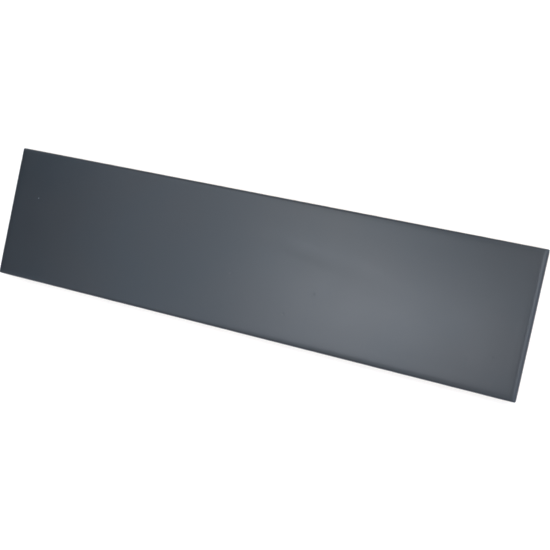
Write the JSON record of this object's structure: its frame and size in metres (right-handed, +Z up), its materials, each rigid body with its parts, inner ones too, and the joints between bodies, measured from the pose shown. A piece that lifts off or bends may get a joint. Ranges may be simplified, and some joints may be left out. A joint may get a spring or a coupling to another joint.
{
  "type": "glazed ceramic tile",
  "caption": "Long 4 to 1 wall tile with a satin blue-grey glazed face, cushioned edges and a bare ribbed back that keys into adhesive.",
  "frame": {"origin": "middle of the bed plane, the flat that the back's ribs and rim share", "axes": "+X along the tile's length, +Y across it, +Z up out of the glazed face"},
  "size_m": [0.3, 0.075, 0.0085],
  "materials": {
    "satin_glaze": "satin blue-grey glaze on the face and the upper side, bare off-white biscuit on the foot and the back"
  },
  "bodies": {
    "root": {"glazed_tile": "satin_glaze"}
  },
  "joints": []
}
